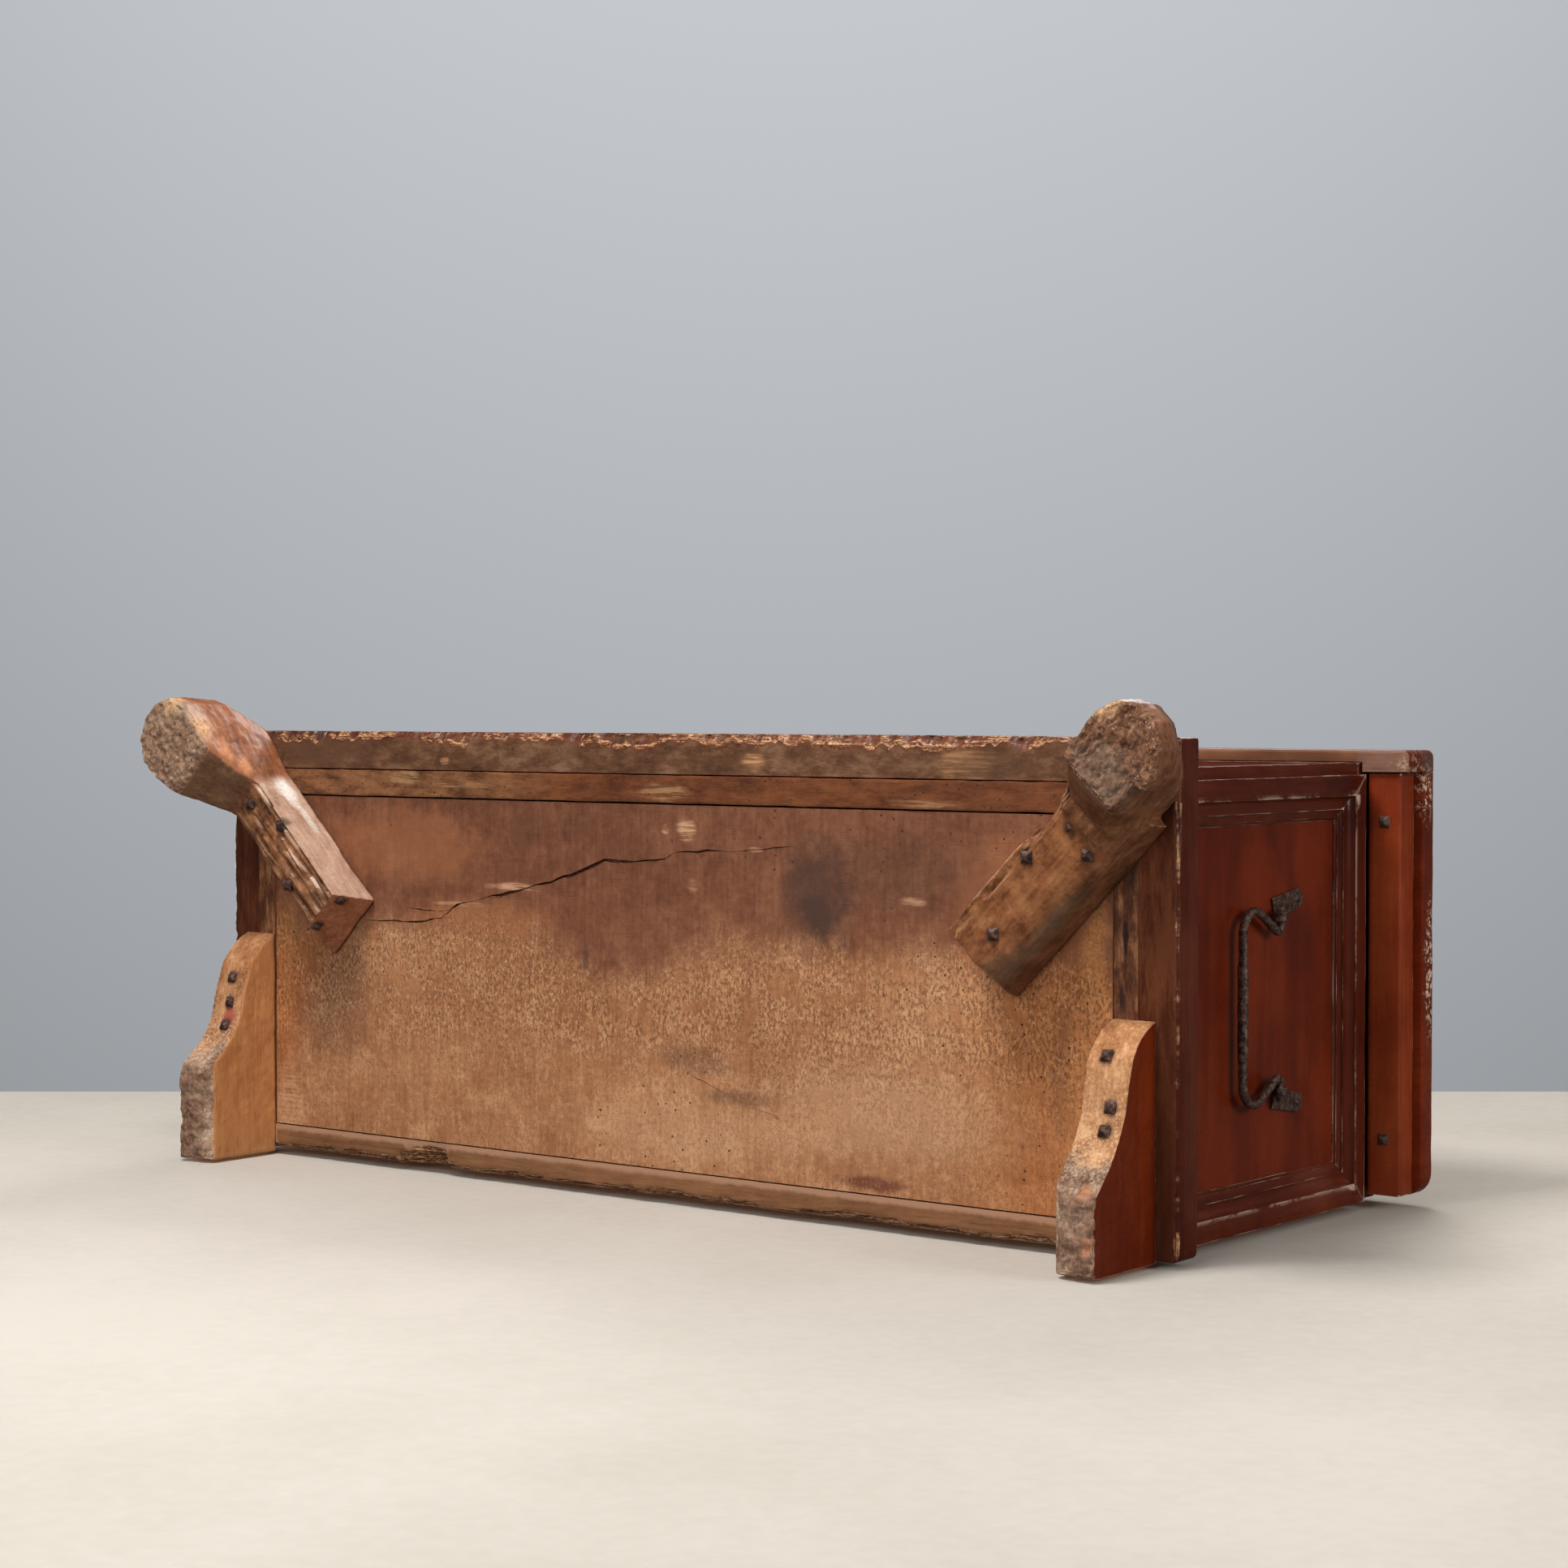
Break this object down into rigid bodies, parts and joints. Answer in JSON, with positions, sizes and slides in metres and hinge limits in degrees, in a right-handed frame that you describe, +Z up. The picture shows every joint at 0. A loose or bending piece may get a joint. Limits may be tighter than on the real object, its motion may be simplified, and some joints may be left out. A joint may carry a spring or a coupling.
{
  "type": "storage chest",
  "caption": "Long wooden storage chest with framed panels, overhanging hinged lid, diagonal front feet, bracket rear feet and an iron bail handle on each end.",
  "frame": {"origin": "centre of the bounding box in plan, at the floor under the feet", "axes": "+X to the right of someone facing the front of the chest; -Y out of the front, +Y out of the back, +Z up"},
  "size_m": [1.3876, 0.5358, 0.6083],
  "materials": {
    "walnut": "stained and wax-polished, worn at the arrises",
    "plain_board": "unpolished aged board with worm holes",
    "forged_iron": "hand-forged, dark brown-black patina"
  },
  "bodies": {
    "chest": {"back_board": "plain_board", "base_moulding_front": "walnut", "base_moulding_left": "walnut", "base_moulding_right": "walnut", "bottom_board": "plain_board", "foot_nails": "forged_iron", "front_board": "walnut", "front_foot_left": "walnut", "front_foot_right": "walnut", "front_left_frame_bottom": "walnut", "front_left_frame_inner": "walnut", "front_left_frame_outer": "walnut", "front_left_frame_top": "walnut", "front_middle_stile": "walnut", "front_right_frame_bottom": "walnut", "front_right_frame_inner": "walnut", "front_right_frame_outer": "walnut", "front_right_frame_top": "walnut", "front_top_rail": "walnut", "hinge_body_leaf_left": "forged_iron", "hinge_body_leaf_right": "forged_iron", "hinge_body_nails": "forged_iron", "hinge_pin_left": "forged_iron", "hinge_pin_right": "forged_iron", "left_frame_bottom": "walnut", "left_frame_front": "walnut", "left_frame_rear": "walnut", "left_frame_top": "walnut", "left_side_board": "walnut", "rear_foot_left": "walnut", "rear_foot_right": "walnut", "right_frame_bottom": "walnut", "right_frame_front": "walnut", "right_frame_rear": "walnut", "right_frame_top": "walnut", "right_side_board": "walnut", "strap_left_front": "forged_iron", "strap_left_rear": "forged_iron", "strap_nails": "forged_iron", "strap_right_front": "forged_iron", "strap_right_rear": "forged_iron"},
    "lid": {"batten_nails": "forged_iron", "hinge_lid_leaf_left": "forged_iron", "hinge_lid_leaf_right": "forged_iron", "hinge_lid_nails": "forged_iron", "lid_batten_left": "walnut", "lid_batten_right": "walnut", "lid_board": "walnut", "lid_front_strip": "walnut"},
    "right_bail": {"bail_right": "forged_iron"},
    "left_bail": {"bail_left": "forged_iron"}
  },
  "joints": [
    {"name": "lid_hinge", "type": "hinge", "parent": "chest", "child": "lid", "pos_m": [0, 0.26327, 0.58], "axis": [-1, 0, 0], "range_deg": [0, 100]},
    {"name": "right_bail_swing", "type": "hinge", "parent": "chest", "child": "right_bail", "pos_m": [0.618, 0.04127, 0.356], "axis": [0, -1, 0], "range_deg": [-5, 184]},
    {"name": "left_bail_swing", "type": "hinge", "parent": "chest", "child": "left_bail", "pos_m": [-0.618, 0.04127, 0.356], "axis": [0, 1, 0], "range_deg": [-5, 184]}
  ]
}
